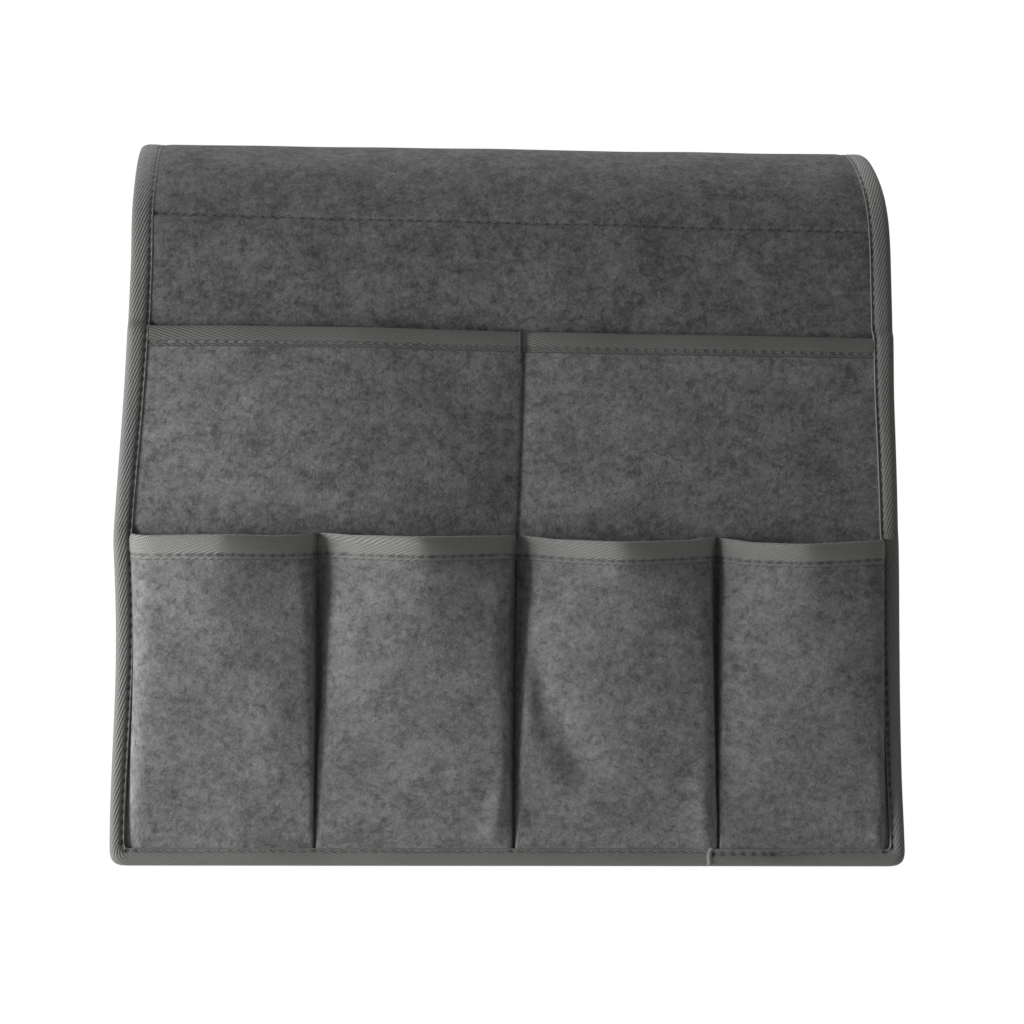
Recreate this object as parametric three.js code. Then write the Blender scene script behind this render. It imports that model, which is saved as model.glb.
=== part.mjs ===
// Sofa armrest caddy: one felt strip laid over a sofa arm, its edges bound with twill tape.
// The front drop carries a flat full-height pocket panel, divided in two, and four pleated pockets on it.
// Millimetres. +X runs across the strip, -Y is the pocket side and +Z is up.
// The origin is the middle of the underside of the grip lining, where the caddy rests on the arm.
import * as THREE from 'three';

// Driving dimensions of the strip and of the arm that it is laid over
const caddyWidth = 325;
const armFlat = 60;
const armRadius = 66;
const frontDrop = 255;
const rearDrop = 234;
const dropBow = 6;

// Cloth and tape
const feltThickness = 2.5;
const pocketFelt = 2;
const liningThickness = 1.2;
const tapeWidth = 9;
const tapeThickness = 0.9;
const tapeFoldRadius = 0.5;
const sewnGap = 0.3;

// Rounded corners at the two hems
const cornerReach = 10;
const cornerSquareness = 4;

// Grip lining, measured along the arm from the end of each bend
const liningStart = 14;

// Flat pocket panel, measured up from the front hem
const upperMouth = 223;
const upperBelly = 9;
const bellyStart = 100;
const mouthLiftRun = 30;
const seamShift = 4;

// Pleated pockets, measured up from the front hem
const pocketPitch = 82.3;
const pocketMouth = 134;
const pocketDepth = 20;
const pocketFootDepth = 3;
const pocketSeamGap = 3.2;
const pocketSag = 5;
const pocketSquareness = 4.5;

// How far the left and the right wall of each pleated pocket lean in at its mouth
const pocketLean = [
  [0, 1],
  [6, 1],
  [6, 3],
  [2, 1],
];

// How finely curves are divided
const bendSteps = 12;
const dropSteps = 12;
const cornerSteps = 4;
const foldSteps = 2;
const bellySteps = 10;
const pocketSteps = 16;

// Heights of the layers above the arm
const feltBottom = liningThickness + sewnGap;
const feltTop = feltBottom + feltThickness;
const tapeStand = sewnGap + tapeThickness;

// Places across the strip
const halfWidth = caddyWidth / 2;
const tapeInner = halfWidth - tapeWidth;

// Places along the strip, counted from the front hem over the arm to the rear hem
const bendLength = (Math.PI / 2) * armRadius;
const frontBendStart = frontDrop;
const topStart = frontBendStart + bendLength;
const topEnd = topStart + armFlat;
const rearBendEnd = topEnd + bendLength;
const stripLength = rearBendEnd + rearDrop;
const frontFold = frontBendStart + bendLength / 2;
const rearFold = topEnd + bendLength / 2;

const smooth = (t) => THREE.MathUtils.smoothstep(t, 0, 1);

// The line that the strip follows over the arm: where it runs at a place along the strip, and its outward direction.
function armLine(along) {
  const side = armFlat / 2 + armRadius;
  if (along < frontBendStart) {
    const hang = (frontBendStart - along) / frontDrop;
    const bow = dropBow * Math.sin(Math.PI * hang) ** 2;
    const slope = (dropBow * Math.PI * Math.sin(2 * Math.PI * hang)) / frontDrop;
    const out = new THREE.Vector2(-1, slope).normalize();
    return { y: -side - bow, z: along - frontBendStart - armRadius, out };
  }
  if (along < topStart) return bendLine(-1, (topStart - along) / armRadius);
  if (along <= topEnd) return { y: along - topStart - armFlat / 2, z: 0, out: new THREE.Vector2(0, 1) };
  if (along < rearBendEnd) return bendLine(1, (along - topEnd) / armRadius);
  return { y: side, z: rearBendEnd - along - armRadius, out: new THREE.Vector2(1, 0) };
}

// A rounded edge of the arm, by the angle turned from the flat top.
function bendLine(side, angle) {
  const out = new THREE.Vector2(side * Math.sin(angle), Math.cos(angle));
  return { y: side * (armFlat / 2) + armRadius * out.x, z: armRadius * (out.y - 1), out };
}

// Carries a point of the flat strip (across, along, height above the arm) to its place on the arm.
function drape([across, along, height]) {
  const line = armLine(along);
  return new THREE.Vector3(across, line.y + line.out.x * height, line.z + line.out.y * height);
}

// Every place along the strip where its line is divided, so that all layers share their facets.
function evenly(from, to, steps) {
  return Array.from({ length: steps + 1 }, (_, i) => from + ((to - from) * i) / steps);
}
const lineStations = [
  ...evenly(0, frontBendStart, dropSteps),
  ...evenly(frontBendStart, topStart, bendSteps),
  ...evenly(topEnd, rearBendEnd, bendSteps),
  stripLength,
];

// The stations between two places, with the ends and any extra ones, in order and apart from each other.
function stations(from, to, extra = []) {
  const apart = 0.2;
  const inside = [...lineStations, ...extra].filter((s) => s > from + apart && s < to - apart);
  const sorted = [from, ...inside.sort((a, b) => a - b), to];
  return sorted.filter((s, i) => i === 0 || i === sorted.length - 1 || s - sorted[i - 1] > apart);
}

// A closed solid through ribbon sections: each section is two lines of flat points, the outer and the inner face.
function ribbonLoft(sections) {
  const count = sections[0].outer.length;
  const ring = 2 * count;
  const rings = sections.map(({ outer, inner }) => [...outer, ...[...inner].reverse()]);
  const positions = rings.flat().flatMap((point) => drape(point).toArray());
  const index = [];
  const quad = (a, b, c, d) => index.push(a, b, c, a, c, d);
  for (let i = 0; i + 1 < rings.length; i++) {
    for (let j = 0; j < ring; j++) {
      const next = (j + 1) % ring;
      quad(i * ring + j, i * ring + next, (i + 1) * ring + next, (i + 1) * ring + j);
    }
  }
  const last = (rings.length - 1) * ring;
  for (let j = 0; j + 1 < count; j++) {
    const facing = ring - 1 - j;
    quad(j, facing, facing - 1, j + 1);
    quad(last + j, last + j + 1, last + facing - 1, last + facing);
  }
  const geometry = new THREE.BufferGeometry();
  geometry.setAttribute('position', new THREE.Float32BufferAttribute(positions, 3));
  geometry.setIndex(facesOut(positions, index));
  geometry.computeVertexNormals();
  return geometry;
}

// Turns the faces round if the solid that they close is inside out.
function facesOut(positions, index) {
  const corner = (i) => new THREE.Vector3().fromArray(positions, 3 * i);
  let volume = 0;
  for (let i = 0; i < index.length; i += 3) {
    volume += corner(index[i]).dot(corner(index[i + 1]).cross(corner(index[i + 2])));
  }
  return volume > 0 ? index : index.reverse();
}

// Half the width of a layer at a place along the strip, with the rounded corners of the hems taken off.
// The inset is how far the layer's edge lies inside the caddy's outline.
function layerHalf(along, inset) {
  const reach = cornerReach - inset;
  const toHem = Math.min(along, stripLength - along);
  const past = Math.max(0, Math.min(1, (cornerReach - toHem) / reach));
  return halfWidth - cornerReach + reach * (1 - past ** cornerSquareness) ** (1 / cornerSquareness);
}

// The places near a hem where a layer's rounded corner is divided.
function cornerStations(inset) {
  return evenly(0, 1, cornerSteps).map((t) => {
    const turn = Math.sin((t * Math.PI) / 2) ** (2 / cornerSquareness);
    return cornerReach - (cornerReach - inset) * turn;
  });
}

// A flat layer of cloth between two places along the strip.
function clothLayer(from, to, halfAt, bottom, top, extra = []) {
  return ribbonLoft(
    stations(from, to, extra).map((s) => ({
      outer: [[-halfAt(s), s, top], [halfAt(s), s, top]],
      inner: [[-halfAt(s), s, bottom], [halfAt(s), s, bottom]],
    })),
  );
}

// The felt edge lies inside the fold of the tape.
const feltInset = tapeThickness + sewnGap;
const feltHalf = (s) => layerHalf(s, feltInset);
const feltCorners = cornerStations(feltInset);
const rearCorners = feltCorners.map((s) => stripLength - s);

// The sewn edges of neighbouring solids at a fold line stand apart by the sewn gap.
const beforeFold = (fold) => fold - sewnGap / 2;
const afterFold = (fold) => fold + sewnGap / 2;

function mainPanel(from, to) {
  return clothLayer(from, to, feltHalf, feltBottom, feltTop, [...feltCorners, ...rearCorners]);
}

// The grip lining lies between the tapes, under the felt that rests on the arm.
function gripLining(from, to) {
  return clothLayer(from, to, () => tapeInner - sewnGap, 0, liningThickness);
}

// Flat pocket panel: height of its inner face where it is sewn down, and its belly between the seams.
function panelSeat(along) {
  const toMouth = (along - (upperMouth - mouthLiftRun)) / mouthLiftRun;
  return feltTop + sewnGap + tapeStand * smooth(toMouth);
}
function panelBelly(across, along) {
  const [left, right] = across < seamShift ? [-tapeInner, seamShift] : [seamShift, tapeInner];
  const t = Math.max(-1, Math.min(1, (2 * across - left - right) / (right - left)));
  return upperBelly * (1 - t ** 4) * smooth((along - bellyStart) / (upperMouth - bellyStart));
}
const panelInner = (across, along) => panelSeat(along) + panelBelly(across, along);
const panelOuter = (across, along) => panelInner(across, along) + pocketFelt;

const bellyAcross = [
  ...evenly(-tapeInner, seamShift, bellySteps),
  ...evenly(seamShift, tapeInner, bellySteps).slice(1),
];

// The panel's points across, drawn in with its edges at the rounded corners of the hem.
const fullFeltHalf = halfWidth - feltInset;
const panelAcross = [-fullFeltHalf, ...bellyAcross, fullFeltHalf];

function upperPocketPanel() {
  const extra = [...feltCorners, upperMouth - tapeWidth];
  const sections = stations(feltInset, upperMouth - feltInset, extra).map((s) => {
    const across = panelAcross.map((x) => (x * feltHalf(s)) / fullFeltHalf);
    return {
      outer: across.map((x) => [x, s, panelOuter(x, s)]),
      inner: across.map((x) => [x, s, panelInner(x, s)]),
    };
  });
  return ribbonLoft(sections);
}

// The turn of a folded tape as a quarter circle round the corner of what it binds, at a given radius.
function foldArc(centre, radius, startAngle) {
  return evenly(startAngle, startAngle - Math.PI / 2, foldSteps).map((angle) => [
    centre[0] + radius * Math.cos(angle),
    centre[1] + radius * Math.sin(angle),
  ]);
}

// A tape folded over an edge, in its own section: reach grows towards the edge, height is across the layers.
// The tape's outside stands at the given reach, and its lips run back to lipReach.
function foldedTape(lipReach, edgeReach, bottom, top) {
  const inset = tapeThickness + tapeFoldRadius;
  const topCentre = [edgeReach - inset, top - inset];
  const bottomCentre = [edgeReach - inset, bottom + inset];
  const face = (radius) => [
    [lipReach, topCentre[1] + radius],
    ...foldArc(topCentre, radius, Math.PI / 2),
    ...foldArc(bottomCentre, radius, 0),
    [lipReach, bottomCentre[1] - radius],
  ];
  return { outer: face(inset), inner: face(tapeFoldRadius) };
}

// Outside of the tape at a free edge, below and above the layers that it binds.
const tapeBottom = feltBottom - tapeStand;
function tapeTop(along) {
  const ramp = smooth((along - upperMouth) / tapeWidth);
  const sewnStack = panelSeat(Math.min(along, upperMouth)) + pocketFelt;
  return THREE.MathUtils.lerp(sewnStack, feltTop, ramp) + tapeStand;
}
const plainTapeTop = () => feltTop + tapeStand;

// A straight run of edge tape up one side of the strip.
function sideTapeSections(side, places, topAt) {
  const onEdge = ([reach, height], s) => [side * reach, s, height];
  return places.map((s) => {
    const { outer, inner } = foldedTape(tapeInner, halfWidth, tapeBottom, topAt(s));
    return { outer: outer.map((p) => onEdge(p, s)), inner: inner.map((p) => onEdge(p, s)) };
  });
}

// The tape's turn round one corner of a hem, fanned about a point inside the corner.
// The hem is at the start of the strip or at its end, and the fan runs from the side to the hem.
function cornerTapeSections(side, atEnd, topAt) {
  const centreAcross = halfWidth - cornerReach;
  const lip = cornerReach - tapeWidth;
  return evenly(0, Math.PI / 2, 2 * cornerSteps).map((turn) => {
    const [c, s] = [Math.cos(turn), Math.sin(turn)];
    const edge = cornerReach / (c ** cornerSquareness + s ** cornerSquareness) ** (1 / cornerSquareness);
    const place = ([reach, height]) => {
      const along = cornerReach - reach * s;
      return [side * (centreAcross + reach * c), atEnd ? stripLength - along : along, height];
    };
    const { outer, inner } = foldedTape(lip, edge, tapeBottom, topAt(cornerReach));
    return { outer: outer.map(place), inner: inner.map(place) };
  });
}

// One unbroken tape down one side of a drop, round its hem and up the other side.
function dropTape(atEnd, fold, topAt) {
  const hem = atEnd ? stripLength - cornerReach : cornerReach;
  const ramp = evenly(upperMouth, upperMouth + tapeWidth, foldSteps);
  const places = atEnd ? stations(fold, hem).reverse() : stations(hem, fold, ramp);
  const down = [...places].reverse();
  return ribbonLoft([
    ...sideTapeSections(-1, down.slice(0, -1), topAt),
    ...cornerTapeSections(-1, atEnd, topAt),
    ...cornerTapeSections(1, atEnd, topAt).reverse(),
    ...sideTapeSections(1, places.slice(1), topAt),
  ]);
}

// The tape folded over the mouth of the flat pocket panel, pinched in at the dividing seam.
function upperPocketTape() {
  const end = tapeInner - sewnGap;
  const across = [-end, ...bellyAcross.slice(1, -1), end];
  const { outer, inner } = foldedTape(upperMouth - tapeWidth, upperMouth, -tapeStand, pocketFelt + tapeStand);
  const sections = across.map((x) => {
    const place = ([reach, height]) => [x, reach, panelInner(x, reach) + height];
    return { outer: outer.map(place), inner: inner.map(place) };
  });
  return ribbonLoft(sections);
}

// Pleated pockets lie between the edge tapes and the three dividing seams.
const dividerSeams = [-1, 0, 1].map((i) => seamShift + i * pocketPitch);
const pocketLeft = [-tapeInner + sewnGap + tapeStand, ...dividerSeams.map((x) => x + pocketSeamGap / 2)];
const pocketRight = [...dividerSeams.map((x) => x - pocketSeamGap / 2), tapeInner - sewnGap - tapeStand];
const pocketFoot = tapeWidth + sewnGap;

// A point of a pleated pocket's wall: turn runs from the left foot over the front to the right foot.
// The section is a squared oval that deepens from the hem to the mouth, where its front sags below its ends.
function pocketWall(pocket, along, turn, inset) {
  const rise = (along - pocketFoot) / (pocketMouth - pocketFoot);
  const depth = pocketFootDepth + (pocketDepth - pocketFootDepth) * rise - inset;
  const half = (pocketRight[pocket] - pocketLeft[pocket]) / 2 - inset;
  const middle = (pocketRight[pocket] + pocketLeft[pocket]) / 2;
  const share = Math.sin(turn) ** (2 / pocketSquareness);
  const [leanLeft, leanRight] = pocketLean[pocket];
  const lean = (Math.cos(turn) > 0 ? leanLeft : leanRight) * rise * share;
  const across = (half - lean) * Math.abs(Math.cos(turn)) ** (2 / pocketSquareness);
  const x = middle - Math.sign(Math.cos(turn)) * across;
  const sunk = along - pocketSag * rise * share;
  return [x, sunk, panelOuter(x, along) + sewnGap + depth * share];
}
const pocketTurns = evenly(0, Math.PI, pocketSteps);

function lowerPocket(pocket) {
  const top = pocketMouth - feltInset;
  const wall = (s, inset) => pocketTurns.map((turn) => pocketWall(pocket, s, turn, inset));
  const sections = stations(pocketFoot, top, [pocketMouth - tapeWidth]).map((s) => ({
    outer: wall(s, 0),
    inner: wall(s, pocketFelt),
  }));
  return ribbonLoft(sections);
}

// The tape folded over the mouth of a pleated pocket, following its wall.
function lowerPocketTape(pocket) {
  const { outer, inner } = foldedTape(pocketMouth - tapeWidth, pocketMouth, -tapeStand, pocketFelt + tapeStand);
  const sections = pocketTurns.map((turn) => {
    const place = ([reach, inset]) => pocketWall(pocket, reach, turn, inset);
    return { outer: outer.map(place), inner: inner.map(place) };
  });
  return ribbonLoft(sections);
}

const felt = new THREE.MeshStandardMaterial({ color: 0x5c5c5d, roughness: 0.95, metalness: 0 });
const pocketCloth = new THREE.MeshStandardMaterial({ color: 0x646465, roughness: 0.95, metalness: 0 });
const tape = new THREE.MeshStandardMaterial({ color: 0x686863, roughness: 0.7, metalness: 0 });
const grip = new THREE.MeshStandardMaterial({ color: 0x3a3a3b, roughness: 0.85, metalness: 0 });

function piece(name, geometry, material) {
  const mesh = new THREE.Mesh(geometry, material);
  mesh.name = name;
  return mesh;
}

function topGroup() {
  const [from, to] = [afterFold(frontFold), beforeFold(rearFold)];
  const sideTape = (side) => ribbonLoft(sideTapeSections(side, stations(from, to), plainTapeTop));
  return new THREE.Group().add(
    piece('main_panel_top', mainPanel(from, to), felt),
    piece('grip_lining_top', gripLining(from, to), grip),
    piece('edge_tape_top_left', sideTape(-1), tape),
    piece('edge_tape_top_right', sideTape(1), tape),
  );
}

function frontGroup() {
  const fold = beforeFold(frontFold);
  const group = new THREE.Group().add(
    piece('main_panel_front', mainPanel(feltInset, fold), felt),
    piece('grip_lining_front', gripLining(frontBendStart + liningStart, fold), grip),
    piece('edge_tape_front', dropTape(false, fold, tapeTop), tape),
    piece('upper_pocket_panel', upperPocketPanel(), pocketCloth),
    piece('upper_pocket_tape', upperPocketTape(), tape),
  );
  pocketLeft.forEach((_, pocket) => {
    group.add(
      piece(`lower_pocket_${pocket + 1}`, lowerPocket(pocket), pocketCloth),
      piece(`lower_pocket_tape_${pocket + 1}`, lowerPocketTape(pocket), tape),
    );
  });
  return group;
}

function rearGroup() {
  const fold = afterFold(rearFold);
  return new THREE.Group().add(
    piece('main_panel_rear', mainPanel(fold, stripLength - feltInset), felt),
    piece('grip_lining_rear', gripLining(fold, rearBendEnd - liningStart), grip),
    piece('edge_tape_rear', dropTape(true, fold, plainTapeTop), tape),
  );
}

const caddy = new THREE.Group();
caddy.name = 'sofa_armrest_caddy';
caddy.add(topGroup(), frontGroup(), rearGroup());

export default caddy;
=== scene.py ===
import math

import bpy
import numpy as np
from mathutils import Euler, Matrix, Vector


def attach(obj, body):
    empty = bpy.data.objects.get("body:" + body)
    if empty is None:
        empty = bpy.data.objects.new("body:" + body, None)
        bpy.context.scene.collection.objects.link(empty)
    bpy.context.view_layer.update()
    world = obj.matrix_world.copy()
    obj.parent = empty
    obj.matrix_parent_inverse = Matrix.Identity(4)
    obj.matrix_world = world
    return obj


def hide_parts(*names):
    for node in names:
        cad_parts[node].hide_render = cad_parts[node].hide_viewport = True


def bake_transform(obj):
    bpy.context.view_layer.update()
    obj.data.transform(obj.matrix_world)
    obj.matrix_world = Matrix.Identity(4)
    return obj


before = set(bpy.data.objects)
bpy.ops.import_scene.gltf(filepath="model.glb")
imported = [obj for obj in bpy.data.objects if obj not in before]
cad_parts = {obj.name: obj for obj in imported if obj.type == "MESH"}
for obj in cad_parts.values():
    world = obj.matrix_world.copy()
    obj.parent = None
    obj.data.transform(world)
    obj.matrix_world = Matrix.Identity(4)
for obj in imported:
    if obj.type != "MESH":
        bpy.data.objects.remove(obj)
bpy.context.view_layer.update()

MM = 0.001

# The strip and the arm that it is laid over
HALF_WIDTH = 162.5 * MM
ARM_FLAT = 60 * MM
ARM_RADIUS = 66 * MM
ARM_SIDE = ARM_FLAT / 2 + ARM_RADIUS
FRONT_DROP = 255 * MM
REAR_DROP = 234 * MM
DROP_BOW = 6 * MM

# Places along the strip, counted from the front hem over the arm to the rear hem
TOP_START = FRONT_DROP + math.pi / 2 * ARM_RADIUS
TOP_END = TOP_START + ARM_FLAT
MID_TOP = (TOP_START + TOP_END) / 2
REAR_BEND_END = TOP_END + math.pi / 2 * ARM_RADIUS
STRIP_LENGTH = REAR_BEND_END + REAR_DROP

# Heights of the layers above the arm
LINING_TOP = 1.2 * MM
FELT_BOTTOM = 1.5 * MM
FELT_TOP = 4.0 * MM
FELT_INSET = 1.2 * MM
EDGE_PRESS = 0.4 * MM
SEWN_GAP = 0.3 * MM
PANEL_FELT = 2.0 * MM

# Binding tape
TAPE_CLOTH = 0.45 * MM
TAPE_REACH = 9.0 * MM
CORNER_REACH = 10 * MM
CORNER_SQUARENESS = 4.0
BEAD_MIDDLE = 3.6 * MM
BEAD_LIFT = 0.9 * MM
LIP_SHADE = 0.7
LIP_EDGE = 0.3 * MM
STITCH_PITCH = 4.2 * MM
STITCH_LENGTH = 2.7 * MM
FIRST_STITCH = 0.4
HOLE_REACH = 0.9 * MM
HOLE_DEPTH = 0.3 * MM
STITCH_STEP = STITCH_PITCH / 3
THREAD_RADIUS = 0.26 * MM
EDGE_THREAD = 0.15 * MM

# Grip lining
LINING_START = FRONT_DROP + 14 * MM
LINING_END = REAR_BEND_END - 14 * MM
LINING_HALF = HALF_WIDTH - TAPE_REACH - 0.3 * MM
DOT_PITCH = 6.5 * MM
DOT_RADIUS = 1.3 * MM
DOT_HEIGHT = 0.45 * MM

# Flat pocket panel
PANEL_SEAM = 4 * MM
PANEL_SIDE = HALF_WIDTH - TAPE_REACH
UPPER_MOUTH = 223 * MM
UPPER_BELLIES = [(7.2 * MM, 0.45, 0.1), (2.4 * MM, 0.35, -0.3)]
BELLY_START = 100 * MM
BELLY_FULL = 178 * MM
MOUTH_LIFT_RUN = 30 * MM
MOUTH_LIFT = 0.6 * MM
UPPER_TAPE_WIDTH = 9.5 * MM
MOUTH_BEAD = 0.45 * MM
SEAM_PULL = 0.8 * MM
SEAM_LEFT_RUN = 0.35 * MM
SEAM_RIGHT_RUN = 4.5 * MM
SEAM_STEPS = [step * MM for step in (0.4, 0.8, 1.3, 2.0, 3.0, 4.5, 6.5, 9.0, 12.0)]
PANEL_SAGS = (0.05, 0.35)
PANEL_TILT = 2.0 * MM

# Pleated pockets, from left to right: how far the creases stand in from the sewn lines at some levels from
# the foot to the mouth, how deep the creases and the belly are at the mouth, how far the mouth hangs down at
# its creases and between them, how widely the creases are rounded, how hollow the side walls are and what
# share of their depth the creases keep at the mouth
LOWER_MOUTH = 135.8 * MM
POCKET_PITCH = 82.3 * MM
POCKET_FOOT = 9 * MM
POCKET_SEWN = 1.7 * MM
POCKET_FELT = 1.5 * MM
SEAM_GAP = 0.3 * MM
LOWER_TAPE_WIDTH = 10.4 * MM
SEAMS = [PANEL_SEAM + i * POCKET_PITCH for i in (-1, 0, 1)]
SEWN_LINES = [-155.9 * MM, *SEAMS, 156.4 * MM]
CREASE_LEVELS = (0.0, 0.1, 0.3, 0.5, 0.7, 0.85, 0.93, 0.97, 1.0)
POCKETS = [
    dict(
        left=(4.4, 4.2, 3.6, 3.2, 2.8, 2.6, 2.5, 2.4, 2.2),
        right=(0.3, 0.4, 0.7, 1.2, 2.0, 2.4, 2.4, 2.0, 0.8),
        creases=(12, 13), belly=6, hang=(2.7, 2.7, 0.8),
        rounding=((0.5, 9), (0.7, 6)), hollow=(0.1, 0.2), closing=(0.85, 0.45),
    ),
    dict(
        left=(0.4, 0.5, 0.8, 2.2, 3.4, 5.0, 6.0, 5.2, 1.2),
        right=(0.6, 1.3, 2.3, 3.2, 3.6, 2.8, 2.4, 2.0, 0.8),
        creases=(9, 14), belly=8, hang=(1.0, 0.8, 3.1),
        rounding=((0.6, 12), (0.7, 8)), hollow=(0.2, 0.2), closing=(0.45, 0.45),
    ),
    dict(
        left=(0.5, 1.2, 1.8, 2.6, 4.3, 5.4, 5.8, 4.4, 1.0),
        right=(0.3, 0.4, 0.8, 1.7, 2.8, 3.6, 3.6, 3.0, 1.0),
        creases=(10, 13), belly=8, hang=(1.25, 1.7, 3.6),
        rounding=((0.66, 7), (0.7, 8)), hollow=(0.3, 0.2), closing=(0.45, 0.45),
    ),
    dict(
        left=(0.4, 0.4, 0.5, 0.8, 1.0, 1.5, 1.9, 1.6, 0.5),
        right=(2.4, 2.4, 2.2, 2.0, 1.8, 1.7, 1.7, 1.6, 1.5),
        creases=(10, 12), belly=7, hang=(2.4, 2.1, 3.0),
        rounding=((0.8, 4), (0.7, 8)), hollow=(0.2, 0.5), closing=(0.45, 0.8),
    ),
]
RIDGE_PLACE = 0.5
CREASE_RISE = 0.58
BELLY_KEEP = 0.75

# Soft folds in the pockets' fronts: pocket, the two ends (across, along), height and width
FOLDS = [
    (1, (-97, 66), (-95, 42), 0.9, 9.0),
    (2, (0.5, 31), (-4.5, 16), 1.8, 4.6),
    (3, (5, 84), (32, 40), -2.2, 8.2),
    (3, (81, 36), (81.5, 14), 1.5, 5.0),
    (4, (150, 16), (151, 11), 0.9, 3.0),
]


def smooth(t):
    t = np.clip(t, 0, 1)
    return t * t * (3 - 2 * t)


def lerp(a, b, t):
    return a + (b - a) * t


# The line that the strip follows over the arm, and small waves that all its layers share


# Depth and height of the arm's surface at places along the strip, and the direction outwards there
def arm_line(along):
    from_middle = np.abs(along - MID_TOP)
    side = np.sign(along - MID_TOP)
    past_flat = np.maximum(from_middle - ARM_FLAT / 2, 0)
    turn = np.minimum(past_flat / ARM_RADIUS, math.pi / 2)
    drop = past_flat - ARM_RADIUS * turn
    hang = np.maximum(FRONT_DROP - along, 0) / FRONT_DROP
    bow = DROP_BOW * np.sin(math.pi * hang) ** 2
    slope = DROP_BOW * math.pi * np.sin(2 * math.pi * hang) / FRONT_DROP
    length = np.hypot(1, slope)
    y = side * (from_middle - past_flat + ARM_RADIUS * np.sin(turn)) - bow
    z = ARM_RADIUS * (np.cos(turn) - 1) - drop
    return y, z, side * np.sin(turn) / length, (np.cos(turn) + slope) / length


WAVES = [
    (0.28 * MM, 190 * MM, 260 * MM, 0.4),
    (0.20 * MM, 95 * MM, -170 * MM, 2.1),
    (0.16 * MM, -70 * MM, 120 * MM, 4.0),
    (0.12 * MM, 48 * MM, 64 * MM, 1.2),
]
TOP_RIPPLE = 0.4
RIPPLE_RUN = 60 * MM

# How far the strip wanders sideways at places along it, in millimetres, to follow the photo:
# place, left edge, dividing seam, right edge
WANDER_ROWS = [
    (0, -1.3, -3.4, 0),
    (19, -1.5, -3.4, -0.3),
    (35, -1.3, -3.4, -0.8),
    (52, -0.9, -3.3, -1.0),
    (68, -0.5, -3.3, -1.1),
    (85, -0.4, -3.2, -1.1),
    (101, -0.8, -3.0, -1.1),
    (118, -1.7, -2.7, -0.8),
    (134, -2.9, -2.3, -0.5),
    (151, -2.2, -1.5, -0.2),
    (167, -1.6, -0.8, 0),
    (184, -0.9, -0.1, 0.2),
    (200, -0.4, 0.4, 0.4),
    (217, 0, 0.8, 0.9),
    (235, 0.3, 0.6, 1.2),
    (258, 0.6, 0.3, 1.3),
    (277, 0, 0, 1.6),
    (291, 0, 0, 1.2),
    (311, -0.3, 0, -0.3),
    (330, -0.6, 0, -0.8),
    (756, 0, 0, 0),
]
WANDER_PLACES, *WANDER_SIDES = zip(*WANDER_ROWS)
WANDER_RANGE = (-40, 800.0)
WANDER_EASING = 25


# A table of values at places along the strip, read smoothly
def eased_table(values):
    fine = np.arange(*WANDER_RANGE)
    rough = np.interp(fine, WANDER_PLACES, values)
    window = np.hanning(WANDER_EASING)
    return fine * MM, np.convolve(rough, window / window.sum(), mode="same") * MM


WANDER = [eased_table(values) for values in WANDER_SIDES]


def wander(across, along):
    left, seam, right = (np.interp(along, *table) for table in WANDER)
    to_left = np.clip((PANEL_SEAM - across) / (PANEL_SEAM + HALF_WIDTH), 0, 1)
    to_right = np.clip((across - PANEL_SEAM) / (HALF_WIDTH - PANEL_SEAM), 0, 1)
    return seam + (left - seam) * to_left + (right - seam) * to_right


def ripple(across, along):
    waves = sum(
        size * np.sin(2 * math.pi * (across / wave_x + along / wave_s) + phase)
        for size, wave_x, wave_s, phase in WAVES
    )
    return waves * lerp(1, TOP_RIPPLE, smooth((along - FRONT_DROP) / RIPPLE_RUN))


def drape(across, along, height):
    across, along, height = np.broadcast_arrays(across, along, height)
    y, z, out_y, out_z = arm_line(along)
    height = height + ripple(across, along)
    x = across + wander(across, along)
    return np.stack([x, y + out_y * height, z + out_z * height], axis=-1)


# Mesh making

SHARP_ANGLE = math.radians(55)


def make_piece(name, points, faces, uv, material, values=None):
    mesh = bpy.data.meshes.new(name)
    mesh.from_pydata(points.tolist(), [], faces)
    corner = np.empty(len(mesh.loops), int)
    mesh.loops.foreach_get("vertex_index", corner)
    layer = mesh.uv_layers.new(name="flat")
    layer.data.foreach_set("uv", uv[corner].astype(np.float32).ravel())
    for key, value in (values or {}).items():
        attribute = mesh.attributes.new(key, "FLOAT", "POINT")
        attribute.data.foreach_set("value", value.astype(np.float32))
    mesh.polygons.foreach_set("use_smooth", [True] * len(mesh.polygons))
    mesh.set_sharp_from_angle(angle=SHARP_ANGLE)
    mesh.materials.append(material)
    mesh.update()
    piece = bpy.data.objects.new(name, mesh)
    bpy.context.scene.collection.objects.link(piece)
    return piece


def grid_faces(index):
    return np.stack([index[:-1, :-1], index[:-1, 1:], index[1:, 1:], index[1:, :-1]], -1).reshape(-1, 4)


def slab_faces(rows, columns):
    index = np.arange(rows * columns).reshape(rows, columns)
    under = index + rows * columns
    rims = [
        (index[0, 1:], index[0, :-1], under[0, :-1], under[0, 1:]),
        (index[-1, :-1], index[-1, 1:], under[-1, 1:], under[-1, :-1]),
        (index[:-1, 0], index[1:, 0], under[1:, 0], under[:-1, 0]),
        (index[1:, -1], index[:-1, -1], under[:-1, -1], under[1:, -1]),
    ]
    rims = [np.stack(rim, -1) for rim in rims]
    return np.concatenate([grid_faces(index), grid_faces(under)[:, [0, 3, 2, 1]], *rims])


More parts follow.
